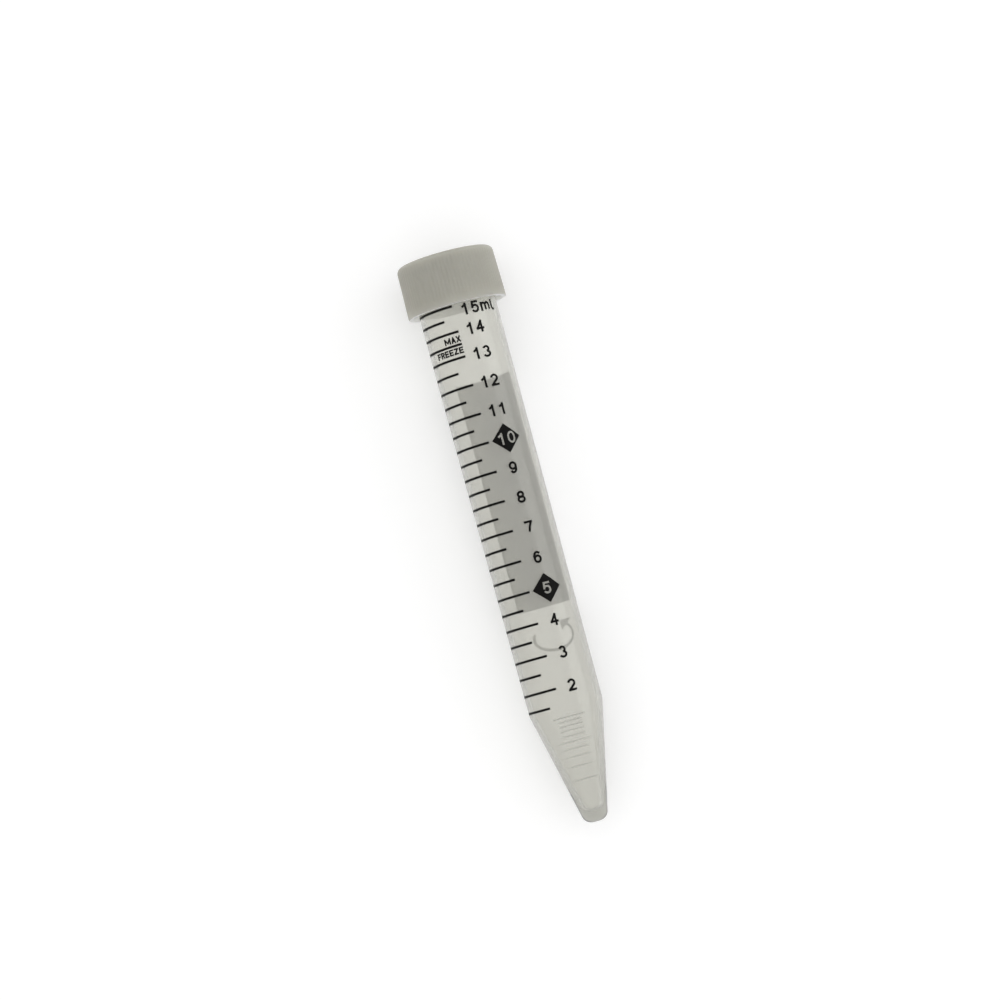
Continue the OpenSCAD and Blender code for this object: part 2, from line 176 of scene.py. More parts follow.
def smooth(x: np.ndarray) -> np.ndarray:
    """Smooth step from 0 to 1: 3 x^2 - 2 x^3 for x between 0 and 1."""
    x = np.clip(x, 0.0, 1.0)
    return x * x * (3.0 - 2.0 * x)


def mesh_object(
    name: str, points: np.ndarray, faces: list[list[int]], flat: bool = False
) -> bpy.types.Object:
    """Makes a mesh object that sits at the origin.

    Args:
        name: Name of the object.
        points: Rows of x, y and z in metres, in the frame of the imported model.
        faces: Rows of point numbers, with three or four in each.
        flat: True if the faces are shaded flat.

    Returns:
        The new object, linked to the scene.
    """
    mesh = bpy.data.meshes.new(name)
    mesh.from_pydata(points, [], faces)
    mesh.polygons.foreach_set("use_smooth", np.full(len(mesh.polygons), not flat))
    mesh.update()
    made = bpy.data.objects.new(name, mesh)
    bpy.context.scene.collection.objects.link(made)
    return made


def grid_faces(rows: int, columns: int, closed: bool) -> np.ndarray:
    """Quads of a grid of points, which may run round and meet itself.

    Args:
        rows: Number of rows of points.
        columns: Number of points in each row.
        closed: True if the last column joins the first.

    Returns:
        Rows of four point numbers.
    """
    across = np.arange(columns if closed else columns - 1)
    r, c = np.meshgrid(np.arange(rows - 1), across, indexing="ij")
    low, high = r * columns, (r + 1) * columns
    after = (c + 1) % columns
    return np.stack([low + c, low + after, high + after, high + c], axis=-1).reshape(-1, 4)


def turned_solid(name: str, rest: Rest, radius: np.ndarray, height: np.ndarray) -> bpy.types.Object:
    """Makes a closed moulding from a grid of radii and heights.

    Row i and column j give the point (R sin a, -R cos a, Z) with a = 2 pi j / columns. The
    first and last rows lie on the axis, and each becomes one point. A profile that runs up
    the outside and down the inside gives faces that point out of the plastic.

    Args:
        name: Name of the object.
        rest: The axis that the moulding is laid on.
        radius: Radii in millimetres, a row for each point of the profile.
        height: Heights in millimetres, in the same layout.

    Returns:
        The moulding.
    """
    rows, columns = radius.shape
    angle = np.arange(columns) * 2 * np.pi / columns
    grid = np.stack([radius * np.sin(angle), -radius * np.cos(angle), height], axis=-1)
    ends = np.array([grid[0].mean(axis=0), grid[-1].mean(axis=0)])
    points = np.concatenate([grid[1:-1].reshape(-1, 3), ends])
    inner = rows - 2
    faces = grid_faces(inner, columns, closed=True)
    ring = np.arange(columns)
    after = (ring + 1) % columns
    first = np.stack([np.full(columns, inner * columns), after, ring], axis=1)
    base = (inner - 1) * columns
    last = np.stack([np.full(columns, inner * columns + 1), base + ring, base + after], axis=1)
    return mesh_object(
        name, rest.lay(points * MM), [*faces.tolist(), *first.tolist(), *last.tolist()]
    )


def add_mask(moulding: bpy.types.Object, name: str, grid: np.ndarray) -> None:
    """Keeps a number from 0 to 1 at each point of a turned solid, for its finish.

    Args:
        moulding: The turned solid.
        name: Name of the attribute.
        grid: The numbers, in the layout of the solid's radii.
    """
    mask = moulding.data.attributes.new(name, "FLOAT", "POINT")
    mask.data.foreach_set("value", np.concatenate([grid[1:-1].ravel(), grid[0, :1], grid[-1, :1]]))


# ---- The tube ----


def from_side(angle: np.ndarray) -> np.ndarray:
    """Angles counted backwards from the side of the tube, where both threads start."""
    return np.mod(np.pi / 2 - angle, 2 * np.pi)


@dataclass(frozen=True)
class Thread:
    """A screw thread, as a raised band that winds round a wall. Lengths in millimetres."""

    start: float
    pitch: float = 3.0
    turns: float = 1.75
    rise: float = 0.42
    width: float = 1.3
    crest: float = 0.52
    fade: float = 0.12

    def height(self, angle: np.ndarray, z: np.ndarray) -> np.ndarray:
        """How far the thread stands out at each angle and height.

        The helix goes down by the pitch for each turn. Its section is a smooth hump as wide
        as the thread, with a flat crest, and both ends fade out over part of a turn.

        Args:
            angle: Angles round the wall in radians, from 0 to 2 pi.
            z: Heights, in the same layout.

        Returns:
            The rise at each point.
        """
        out = np.zeros(np.broadcast(angle, z).shape)
        for turn in range(math.ceil(self.turns)):
            along = angle / (2 * np.pi) + turn
            away = np.abs(z - (self.start - self.pitch * along))
            hump = smooth((self.width - 2 * away) / (self.width - self.crest))
            ends = smooth(np.minimum(along, self.turns - along) / self.fade)
            out = np.maximum(out, self.rise * hump * ends)
        return out


@dataclass
class TubeMoulding:
    """The tube: body, cone, rounded tip, neck with its thread, and raised cone marks.

    Lengths are in millimetres.
    """

    rest: Rest
    length: float = 118.6
    top_r: float = 8.2
    low_r: float = 7.75
    wall_top: float = 0.9
    wall_low: float = 1.05
    cone_height: float = 23.9
    knee_r: float = 2.5
    knee_points: int = 7
    tip_flat_r: float = 0.75
    tip_edge_r: float = 2.0
    tip_thickness: float = 2.4
    tip_inside_r: float = 1.7
    mouth_edge_r: float = 0.25
    thread_depth: float = 2.2
    mark_rise: float = 0.12
    mark_line: float = 0.3
    mark_long: float = 6.6
    mark_short: float = 5.0
    mark_fade: float = 0.15
    mark_reach: float = 1.3
    marks: int = 10
    long_every: int = 5
    neck_length: float = 9.0
    inner_edge_r: float = 0.1
    columns: int = 240

    def body_r(self, z: np.ndarray) -> np.ndarray:
        """Outer radius of the body at a height: it grows evenly from the cone to the mouth."""
        share = (z - self.cone_height) / (self.length - self.cone_height)
        return self.low_r + (self.top_r - self.low_r) * share

    def cone_lean(self) -> float:
        """Angle in radians between the cone's outside and the axis.

        The cone runs from its upper edge to touch the circle of the tip's rounded edge.
        """
        dr, dh = self.low_r - self.tip_flat_r, self.cone_height - self.tip_edge_r
        return math.atan2(dr, dh) - math.asin(self.tip_edge_r / math.hypot(dr, dh))

    def bore_edge(self) -> tuple[float, float]:
        """Radius and height of the edge between the bore and the inside of the cone."""
        return (
            self.low_r - self.wall_low,
            self.cone_height + self.wall_low * math.tan(self.cone_lean() / 2),
        )

    def inside_lean(self) -> float:
        """Angle in radians between the inside of the cone and the axis.

        The inside runs from the edge of the bore to touch the circle of the round bottom.

        Returns:
            The angle.
        """
        r, z = self.bore_edge()
        dh = z - self.tip_thickness - self.tip_inside_r
        return math.atan2(r, dh) - math.asin(self.tip_inside_r / math.hypot(r, dh))

    def mark_heights(self) -> np.ndarray:
        """Heights to which each tenth of a millilitre fills the inside of the cone.

        The round bottom is a cap of a sphere of volume pi d^2 (3 r - d) / 3. Above it the
        volume of a cut-off cone, pi (R^3 - r^3) / (3 tan lean), gives the radius R.

        Returns:
            One height for each mark.
        """
        lean, r = self.inside_lean(), self.tip_inside_r
        d = r * (1 - math.sin(lean))
        above = TENTH_ML * np.arange(1, self.marks + 1) - math.pi * d * d * (3 * r - d) / 3
        wide = np.cbrt((r * math.cos(lean)) ** 3 + 3 * math.tan(lean) * above / math.pi)
        edge_r, edge_z = self.bore_edge()
        return edge_z - (edge_r - wide) / math.tan(lean)

    def rounded_corner(self, before: tuple, corner: tuple, after: tuple, radius: float) -> np.ndarray:
        """Points of a round corner between two straight stretches.

        A curve P = (1-t)^2 A + 2 t (1-t) C + t^2 B blends from A to B, which lie at the
        same distance from the corner C on each stretch.

        Args:
            before: A point on the stretch that comes in.
            corner: The sharp corner.
            after: A point on the stretch that goes out.
            radius: Radius of the arc that would touch both stretches at A and B.

        Returns:
            Rows of radius and height.
        """
        c, a, b = (np.array(p, float) for p in (corner, before, after))
        to_a, to_b = (a - c) / np.linalg.norm(a - c), (b - c) / np.linalg.norm(b - c)
        reach = radius * math.tan((math.pi - math.acos(np.clip(to_a @ to_b, -1, 1))) / 2)
        t = np.linspace(0, 1, self.knee_points)[:, None]
        start, end = c + to_a * reach, c + to_b * reach
        return (1 - t) ** 2 * start + 2 * t * (1 - t) * c + t * t * end

    def outline(self) -> np.ndarray:
        """The profile: up the outside from the tip, over the mouth and down the inside.

        Returns:
            Rows of radius and height, from the tip to the bottom of the inside.
        """
        lean = math.degrees(self.cone_lean())
        tip = arc((self.tip_flat_r, self.tip_edge_r), self.tip_edge_r, -90, -lean, steps=14)
        knee = (self.low_r, self.cone_height)
        mouth = (self.top_r - self.mouth_edge_r, self.length - self.mouth_edge_r)
        turn = self.rounded_corner(tuple(tip[-1]), knee, mouth, self.knee_r)
        neck_z = self.length - self.neck_length
        neck = (float(self.body_r(neck_z)), neck_z)
        inner_r = self.inner_edge_r
        bore_low = self.bore_edge()
        bore_top = (self.top_r - self.wall_top, self.length - inner_r)
        inside = math.degrees(self.inside_lean())
        bottom = (0.0, self.tip_thickness + self.tip_inside_r)
        inner = arc(bottom, self.tip_inside_r, -inside, -90, steps=12)
        inner_turn = self.rounded_corner(bore_top, bore_low, tuple(inner[0]), self.knee_r)
        return joined(
            line((0, 0), (self.tip_flat_r, 0), step=0.4),
            tip,
            line(tuple(tip[-1]), tuple(turn[0]), step=0.14),
            turn,
            line(tuple(turn[-1]), neck, step=3.0),
            line(neck, (self.top_r, mouth[1]), step=0.14),
            arc(mouth, self.mouth_edge_r, 0, 90, steps=5),
            line((mouth[0], self.length), (bore_top[0] + inner_r, self.length), step=0.2),
            arc((bore_top[0] + inner_r, bore_top[1]), inner_r, 90, 180, steps=3),
            line(bore_top, tuple(inner_turn[0]), step=3.0),
            inner_turn,
            line(tuple(inner_turn[-1]), tuple(inner[0]), step=1.0),
            inner,
        )

    def relief(self, rows: np.ndarray, angle: np.ndarray) -> tuple[np.ndarray, np.ndarray]:
        """Height of the thread and the raised cone marks over the plain wall.

        A mark is a low hump across the front. Its ends fade out over a short stretch of the
        curve, and its height falls off to both sides of its line.

        Args:
            rows: The profile, as rows of radius and height.
            angle: Angles of the columns in radians, 0 in the middle of the front.

        Returns:
            The rise for each row and column, on the outside only, and the share of it
            that is a raised mark.
        """
        r, z = rows[:, :1], rows[:, 1:]
        outside = (np.arange(len(rows)) <= np.argmax(rows[:, 1]))[:, None]
        neck = Thread(self.length - self.thread_depth).height(from_side(angle)[None, :], z)
        around = np.abs(np.mod(angle + np.pi, 2 * np.pi) - np.pi)[None, :]
        low = np.zeros_like(neck)
        for number, height in enumerate(self.mark_heights(), start=1):
            half = (self.mark_short if number % self.long_every else self.mark_long) / 2
            across = smooth((half - around * r) / self.mark_fade + 0.5)
            hump = smooth(self.mark_reach - 2 * np.abs(z - height) / self.mark_line)
            low += self.mark_rise * across * hump
        low *= z < self.cone_height
        return (neck + low) * outside, low * outside / self.mark_rise

    def build(self) -> bpy.types.Object:
        """Builds the moulding as one closed surface.

        Returns:
            The moulding, laid on the axis, with the mask of its finish.
        """
        rows = self.outline()
        angle = np.arange(self.columns) * 2 * np.pi / self.columns
        rise, mark = self.relief(rows, angle)
        height = np.repeat(rows[:, 1:], self.columns, axis=1)
        wall = turned_solid("tube_wall", self.rest, rows[:, :1] + rise, height)
        add_mask(wall, "moulded", mark)
        return wall


@dataclass
class CapMoulding:
    """The screw cap: ribbed side, smooth rim, top plate, inner thread and sealing ring.

    Lengths are in millimetres, but inside_fade is counted in points of the profile.
    """

    rest: Rest
    top_z: float = 120.0
    height: float = 11.0
    plate: float = 1.35
    bore_r: float = 9.14
    root_r: float = 10.12
    top_r: float = 10.18
    rim_r: float = 10.38
    edge_r: float = 1.2
    rim_edge_r: float = 0.3
    rim_band: float = 1.5
    ribs: int = 80
    columns_per_rib: int = 6
    groove_depth: float = 0.09
    plug_r: float = 7.25
    plug_wall: float = 0.8
    plug_length: float = 3.2
    plug_straight: float = 2 / 3
    plug_root_r: float = 0.3
    plug_tip_r: float = 0.1
    plug_flat: float = 0.3
    plug_taper: float = 0.26
    bore_edge_r: float = 0.2
    gate_r: float = 1.6
    gate_depth: float = 0.15
    gate_bevel: float = 0.3
    band_fade: float = 0.35
    tooth_reach: float = 1.25
    tooth_fall: float = 1.5
    inside_fade: float = 4.0

    def rim_z(self) -> float:
        """Height of the lower rim."""
        return self.top_z - self.height

    def outline(self) -> np.ndarray:
        """The profile: from the middle of the underside, out, up the side and over the top.

        Returns:
            Rows of radius and height, from the plate's underside to its top.
        """
        under, rim = self.top_z - self.plate, self.rim_z()
        plug_in, plug_tip = self.plug_r - self.plug_wall, under - self.plug_length
        lean_start = under - self.plug_length * self.plug_straight
        root, tip, fillet = self.plug_root_r, self.plug_tip_r, self.bore_edge_r
        gate_in, gate_z = self.gate_r - self.gate_bevel, self.top_z - self.gate_depth
        rim_in = self.rim_r - self.rim_edge_r
        edge = (self.top_r - self.edge_r, self.top_z - self.edge_r)
        lean = math.degrees(math.atan2(self.rim_r - self.top_r, self.height - self.edge_r))
        return joined(
            line((0, under), (plug_in - root, under), step=1.2),
            arc((plug_in - root, under - root), root, 90, 0, steps=4),
            line((plug_in, under - root), (plug_in, plug_tip + tip), step=1.0),
            arc((plug_in + tip, plug_tip + tip), tip, 180, 270, steps=3),
            line((plug_in + tip, plug_tip), (self.plug_r - self.plug_flat, plug_tip), step=0.3),
            line((self.plug_r - self.plug_taper, plug_tip), (self.plug_r, lean_start), step=0.4),
            line((self.plug_r, lean_start), (self.plug_r, under - fillet), step=0.7),
            arc((self.plug_r + fillet, under - fillet), fillet, 180, 90, steps=3),
            line((self.plug_r + fillet, under), (self.bore_r - fillet, under), step=0.8),
            arc((self.bore_r - fillet, under - fillet), fillet, 90, 0, steps=3),
            line((self.bore_r, under - fillet), (self.bore_r, rim + fillet), step=0.15),
            arc((self.bore_r + fillet, rim + fillet), fillet, 180, 270, steps=4),
            line((self.bore_r + fillet, rim), (rim_in, rim), step=0.4),
            arc((rim_in, rim + self.rim_edge_r), self.rim_edge_r, -90, 0, steps=5),
            line((self.rim_r, rim + self.rim_edge_r), (self.top_r, edge[1]), step=0.35),
            arc(edge, self.edge_r, lean, 90, steps=12),
            line((edge[0], self.top_z), (self.gate_r, self.top_z), step=1.2),
            line((self.gate_r, self.top_z), (gate_in, gate_z), step=0.08),
            line((gate_in, gate_z), (0, gate_z), step=0.5),
        )

    def grip(self, rows: np.ndarray, angle: np.ndarray) -> np.ndarray:
        """Radii of the profile with the grooves of the grip cut in.

        A groove goes in from the profile towards the root radius, but no deeper than the
        depth of a groove. It fades out at the smooth band of the rim, and between the grooves
        stand rounded teeth: R = r - depth * (1 - tooth).

        Args:
            rows: The profile, as rows of radius and height.
            angle: Angles of the columns in radians.

        Returns:
            The radius for each row and column.
        """
        r, z = rows[:, :1], rows[:, 1:]
        away = np.abs(np.mod(angle * self.ribs / (2 * np.pi) + 0.5, 1) - 0.5) / 0.5
        tooth = smooth(self.tooth_reach - self.tooth_fall * away)
        outside = (np.arange(len(rows)) > np.argmin(rows[:, 1]))[:, None]
        band = smooth((z - self.rim_z() - self.rim_band) / self.band_fade)
        depth = np.maximum(r - self.root_r, 0) * band * outside
        depth = np.minimum(depth, self.groove_depth)
        return r - depth * (1 - tooth)[None, :]

    def build(self) -> bpy.types.Object:
        """Builds the moulding as one closed surface.

        Returns:
            The moulding, laid on the axis, with the mask of its finish.
        """
        rows = self.outline()
        columns = self.ribs * self.columns_per_rib
        angle = np.arange(columns) * 2 * np.pi / columns
        radius = self.grip(rows, angle)
        in_bore = np.isclose(rows[:, :1], self.bore_r)
        winding = Thread(TubeMoulding.length - TubeMoulding.thread_depth - Thread.pitch / 2)
        radius = radius - winding.height(from_side(angle)[None, :], rows[:, 1:]) * in_bore
        height = np.repeat(rows[:, 1:], columns, axis=1)
        cap = turned_solid("screw_cap", self.rest, radius, height)
        # Mask of the inside, which the finish paints lighter as painted light
        to_rim = np.argmax(rows[:, 0]) - np.arange(len(rows))
        inside = smooth(to_rim / self.inside_fade - 0.5)
        add_mask(cap, "inside", np.repeat(inside[:, None], columns, axis=1))
        return cap


# ---- Finishes ----


class Nodes:
    """Adds nodes to one tree and sets or joins their inputs."""

    def __init__(self, tree: bpy.types.NodeTree) -> None:
        """Keeps the tree that the nodes go into."""
        self.tree = tree

    def add(self, kind: str, inputs: dict | None = None, **settings: object) -> bpy.types.Node:
        """Adds a node.

        Args:
            kind: Type of the node, without its first word.
            inputs: Values or sockets, by the name or number of the input that they go to.
            settings: Properties of the node.

        Returns:
            The new node.
        """
        node = self.tree.nodes.new("ShaderNode" + kind)
        for name, value in settings.items():
            setattr(node, name, value)
        for name, value in (inputs or {}).items():
            if isinstance(value, bpy.types.NodeSocket):
                self.tree.links.new(value, node.inputs[name])
            else:
                node.inputs[name].default_value = value
        return node

    def math(self, operation: str, *values: object) -> bpy.types.NodeSocket:
        """Adds a sum, product or other step on one to three numbers."""
        return self.add("Math", dict(enumerate(values)), operation=operation).outputs[0]

    def spread(
        self, value: object, low: float, high: float, to: tuple = (0.0, 1.0)
    ) -> bpy.types.NodeSocket:
        """Carries the numbers from low to high over to another range, and stops at its ends."""
        inputs = {"Value": value, "From Min": low, "From Max": high, "To Min": to[0], "To Max": to[1]}
        return self.add("MapRange", inputs).outputs["Result"]

    def noise(self, vector: object, scale: object, detail: float) -> bpy.types.NodeSocket:
        """Adds a noise of a number of lumps for each metre."""
        inputs = {"Vector": vector, "Scale": scale, "Detail": detail}
        return self.add("TexNoise", inputs).outputs["Fac"]

    def between(self, share: object, first: object, second: object) -> bpy.types.NodeSocket:
        """Adds a mix of two numbers."""
        factor, a, b, result = 0, 2, 3, 0
        return self.add("Mix", {factor: share, a: first, b: second}).outputs[result]

    def blend(self, share: object, first: object, second: object) -> bpy.types.NodeSocket:
        """Adds a mix of two colours."""
        factor, a, b, result = 0, 6, 7, 2
        return self.add("Mix", {factor: share, a: first, b: second}, data_type="RGBA").outputs[result]


class Effect(Enum):
    """The surface effects that the finishes share. Each one is a node group."""

    FLOW = "mould_flow"
    SKIN = "moulded_skin"
    SCUFF = "handling_scuffs"
    TINT = "clouded_colour"
    COVER = "printed_cover"


@dataclass(frozen=True)
class EffectSockets:
    """Inputs and outputs of a shared effect, by name, with the kind of each."""

    inputs: dict
    outputs: dict

    def new_group(self, effect: Effect) -> tuple[Nodes, bpy.types.Node, bpy.types.Node]:
        """Makes an empty node group with these sockets.

        Args:
            effect: The effect that the group is for.

        Returns:
            The group's nodes, its input node and its output node.
        """
        tree = bpy.data.node_groups.new(effect.value, "ShaderNodeTree")
        for way, sockets in (("INPUT", self.inputs), ("OUTPUT", self.outputs)):
            for name, kind in sockets.items():
                tree.interface.new_socket(name, in_out=way, socket_type="NodeSocket" + kind)
        source, result = tree.nodes.new("NodeGroupInput"), tree.nodes.new("NodeGroupOutput")
        return Nodes(tree), source, result


def flow_group() -> None:
    """Faint clouds in the plastic, drawn out along the way that it filled the mould."""
    sockets = EffectSockets({"Vector": "Vector", "Scale": "Float", "Stretch": "Float"}, {"Flow": "Float"})
    nodes, source, result = sockets.new_group(Effect.FLOW)
    parts = nodes.add("SeparateXYZ", {0: source.outputs["Vector"]}).outputs
    along = nodes.math("DIVIDE", parts[0], source.outputs["Stretch"])
    drawn = nodes.add("CombineXYZ", {0: along, 1: parts[1], 2: parts[2]}).outputs[0]
    clouds = nodes.noise(drawn, source.outputs["Scale"], detail=3.0)
    nodes.tree.links.new(nodes.spread(clouds, low=0.33, high=0.67), result.inputs["Flow"])


def skin_group() -> None:
    """The skin that the steel of the mould leaves: fine grain over shallow ripples."""
    sockets = EffectSockets(
        {"Vector": "Vector", "Grain": "Float", "Ripple": "Float", "Share": "Float"},
        {"Height": "Float", "Grain": "Float"},
    )
    nodes, source, result = sockets.new_group(Effect.SKIN)
    grain = nodes.noise(source.outputs["Vector"], source.outputs["Grain"], detail=2.0)
    ripple = nodes.noise(source.outputs["Vector"], source.outputs["Ripple"], detail=1.0)
    mixed = nodes.between(source.outputs["Share"], ripple, grain)
    nodes.tree.links.new(mixed, result.inputs["Height"])
    nodes.tree.links.new(grain, result.inputs["Grain"])


def scuff_group() -> None:
    """Short faint scuffs from handling: thin ridges of a noise that is drawn out one way."""
    sockets = EffectSockets({"Vector": "Vector", "Scale": "Float", "Width": "Float"}, {"Scuff": "Float"})
    nodes, source, result = sockets.new_group(Effect.SCUFF)
    one_way = {"Rotation": (0.3, 0.2, 0.5), "Scale": (0.12, 1.0, 0.7)}
    drawn = nodes.add("Mapping", {"Vector": source.outputs["Vector"], **one_way}).outputs[0]
    ridge = nodes.noise(drawn, source.outputs["Scale"], detail=1.0)
    away = nodes.math("ABSOLUTE", nodes.math("SUBTRACT", ridge, 0.5))
    crest = nodes.math("SUBTRACT", 1.0, nodes.math("DIVIDE", away, source.outputs["Width"]))
    patches = nodes.noise(source.outputs["Vector"], scale=260.0, detail=1.0)
    places = nodes.spread(patches, low=0.55, high=0.7)
    scuff = nodes.math("MULTIPLY", nodes.spread(crest, 0.0, 1.0), places)
    nodes.tree.links.new(scuff, result.inputs["Scuff"])


def tint_group() -> None:
    """A colour that is a share darker where a mask is 1: colour * (1 - amount * mask)."""
    sockets = EffectSockets({"Colour": "Color", "Mask": "Float", "Amount": "Float"}, {"Colour": "Color"})
    nodes, source, result = sockets.new_group(Effect.TINT)
    less = nodes.math("MULTIPLY", source.outputs["Mask"], source.outputs["Amount"])
    keep = nodes.math("SUBTRACT", 1.0, less)
    inputs = {0: source.outputs["Colour"], "Scale": keep}
    scaled = nodes.add("VectorMath", inputs, operation="SCALE").outputs[0]
    nodes.tree.links.new(scaled, result.inputs["Colour"])


def cover_group() -> None:
    """How well the ink covers: tiny thin spots from the printing screen, and soft blotches."""
    sockets = EffectSockets(
        {"Vector": "Vector", "Screen": "Float", "Opacity": "Float", "Thin": "Float"},
        {"Cover": "Float", "Blotch": "Float", "Height": "Float"},
    )
    nodes, source, result = sockets.new_group(Effect.COVER)
    cell = nodes.add("TexVoronoi", {"Vector": source.outputs["Vector"], "Scale": source.outputs["Screen"]})
    spot = nodes.spread(cell.outputs["Distance"], low=0.0, high=0.35, to=(1.0, 0.0))
    clouds = nodes.noise(source.outputs["Vector"], scale=700.0, detail=3.0)
    blotch = nodes.spread(clouds, low=0.35, high=0.7)
    thin = nodes.math("MULTIPLY", nodes.math("MULTIPLY", spot, blotch), source.outputs["Thin"])
    cover = nodes.math("MULTIPLY", nodes.math("SUBTRACT", 1.0, thin), source.outputs["Opacity"])
    nodes.tree.links.new(cover, result.inputs["Cover"])
    nodes.tree.links.new(blotch, result.inputs["Blotch"])
    nodes.tree.links.new(nodes.math("ADD", cell.outputs["Distance"], blotch), result.inputs["Height"])


def make_effects() -> None:
    """Makes the node group of every shared effect."""
    for make in (flow_group, skin_group, scuff_group, tint_group, cover_group):
        make()


class Finish(Nodes):
    """A material with one Principled shader, and a pattern frame turned along the tube."""

    def __init__(self, slot: Slot, lean: float, shader: dict) -> None:
        """Makes the material.

        Args:
            slot: The material slot that the finish is for.
            lean: Angle in radians by which the tube's axis rises.
            shader: Plain values of the shader's sockets, by their names.
        """
        self.made = bpy.data.materials.new(slot.value)
        self.made.use_nodes = True
        super().__init__(self.made.node_tree)
        self.shader = self.tree.nodes["Principled BSDF"]
        self.output = self.tree.nodes["Material Output"]
        for name, value in shader.items():
            self.shader.inputs[name].default_value = value
        place = self.add("TexCoord").outputs["Object"]
        turned = {"Vector": place, "Rotation": (0.0, lean, 0.0)}
        self.place = self.add("Mapping", turned).outputs[0]

    def effect(self, effect: Effect, inputs: dict) -> bpy.types.bpy_prop_collection:
        """Places a shared effect, with its own values, and gives its outputs."""
        return self.add("Group", inputs, node_tree=bpy.data.node_groups[effect.value]).outputs

    def feed(self, name: str, value: bpy.types.NodeSocket) -> None:
        """Joins a pattern to one of the shader's sockets."""
        self.tree.links.new(value, self.shader.inputs[name])

    def bump(self, height: bpy.types.NodeSocket, strength: float, depth: float) -> None:
        """Raises the surface by a pattern of a depth in metres."""
        inputs = {"Height": height, "Strength": strength, "Distance": depth}
        self.feed("Normal", self.add("Bump", inputs).outputs[0])

    def let_light_through(self, share: tuple) -> None:
        """Lets a share of the light from lamps and sky pass straight through each face.

        Args:
            share: The share that passes, as a colour.
        """
        path = self.add("LightPath").outputs["Is Shadow Ray"]
        passing = self.add("BsdfTransparent", {"Color": share}).outputs[0]
        mix = self.add("MixShader", {0: path, 1: self.shader.outputs[0], 2: passing})
        self.tree.links.new(mix.outputs[0], self.output.inputs["Surface"])


@dataclass(frozen=True)
class TubePlastic:
    """Natural polypropylene: clear plastic with some milk in it, a little lighter towards the mouth."""

    lean: float
    colour: tuple = (0.94, 0.935, 0.905, 1.0)
    mouth_colour: tuple = (0.985, 0.98, 0.95, 1.0)
    clearing: tuple = (-0.035, 0.055)
    reflected: tuple = (0.8, 0.8, 0.8, 1.0)
    passing: tuple = (0.98, 0.98, 0.97, 1.0)
    absorbed: tuple = (0.75, 0.75, 0.72, 1.0)
    density: float = 540.0
    haze: tuple = (0.02, 0.06)
    mark_haze: float = 0.3

    def material(self) -> bpy.types.Material:
        """Builds the material.

        Returns:
            The new material, named after its slot.
        """
        shader = {"Transmission Weight": 0.85, "IOR": 1.49, "Specular Tint": self.reflected}
        finish = Finish(Slot.TUBE, self.lean, shader)
        flow = finish.effect(Effect.FLOW, {"Vector": finish.place, "Scale": 170.0, "Stretch": 6.0})["Flow"]
        mark = finish.add("Attribute", attribute_name="moulded").outputs["Fac"]
        along = finish.add("SeparateXYZ", {0: finish.place}).outputs[0]
        # The colour grows lighter along the tube towards the mouth
        plain = finish.blend(finish.spread(along, *self.clearing), self.colour, self.mouth_colour)
        clouds = {"Colour": plain, "Mask": flow, "Amount": 0.03}
        cloudy = finish.effect(Effect.TINT, clouds)["Colour"]
        # Painted shade: the raised cone marks are tinted 30 % darker, standing in for the shade that their clear
        # relief throws
        marked = {"Colour": cloudy, "Mask": mark, "Amount": 0.3}
        finish.feed("Base Color", finish.effect(Effect.TINT, marked)["Colour"])
        haze = finish.spread(flow, 0.0, 1.0, self.haze)
        hazier = finish.math("MULTIPLY", mark, self.mark_haze)
        finish.feed("Roughness", finish.math("ADD", haze, hazier))
        skin = {"Vector": finish.place, "Grain": 2400.0, "Ripple": 220.0, "Share": 0.25}
        finish.bump(finish.effect(Effect.SKIN, skin)["Height"], strength=0.06, depth=0.00004)
        finish.let_light_through(self.passing)
        dim = finish.add("VolumeAbsorption", {"Color": self.absorbed, "Density": self.density})
        finish.tree.links.new(dim.outputs[0], finish.output.inputs["Volume"])
        return finish.made


@dataclass(frozen=True)
class CapPlastic:
    """Milky polyethylene, with a fine grain, the faint scuffs of handling, and painted shade and light."""

    lean: float
    # Painted shade and light: the outside is a dark grey that holds the cap's shade, the inside a near white that
    # is painted light for the light that glows through the milky skirt
    colour: tuple = (0.373, 0.363, 0.322, 1.0)
    glow_inside_colour: tuple = (1.0, 1.0, 0.97, 1.0)
    depth: float = 0.008
    passing: tuple = (0.9, 0.9, 0.87, 1.0)
    gloss: tuple = (0.42, 0.58)
    scuff_shine: float = -0.12

    def material(self) -> bpy.types.Material:
        """Builds the material.

        Returns:
            The new material, named after its slot.
        """
        shader = {"Subsurface Weight": 1.0, "Subsurface Radius": (1.0, 1.0, 0.9),
                  "Subsurface Scale": self.depth, "Specular IOR Level": 0.3}
        finish = Finish(Slot.CAP, self.lean, shader)
        flow = finish.effect(Effect.FLOW, {"Vector": finish.place, "Scale": 190.0, "Stretch": 2.0})["Flow"]
        inside = finish.add("Attribute", attribute_name="inside").outputs["Fac"]
        # Painted light inside and painted shade outside, blended by the mask of the inside
        plain = finish.blend(inside, self.colour, self.glow_inside_colour)
        cloudy = finish.effect(Effect.TINT, {"Colour": plain, "Mask": flow, "Amount": 0.06})["Colour"]
        worn = {"Vector": finish.place, "Scale": 900.0, "Width": 0.02}
        scuff = finish.effect(Effect.SCUFF, worn)["Scuff"]
        scuffed = {"Colour": cloudy, "Mask": scuff, "Amount": -0.12}
        finish.feed("Base Color", finish.effect(Effect.TINT, scuffed)["Colour"])
        skin = finish.effect(
            Effect.SKIN, {"Vector": finish.place, "Grain": 3200.0, "Ripple": 300.0, "Share": 0.5}
        )
        rough = finish.spread(skin["Grain"], low=0.3, high=0.7, to=self.gloss)
        shine = finish.math("MULTIPLY", scuff, self.scuff_shine)
        finish.feed("Roughness", finish.math("ADD", rough, shine))
        finish.bump(skin["Height"], strength=0.25, depth=0.00008)
        finish.let_light_through(self.passing)
        return finish.made


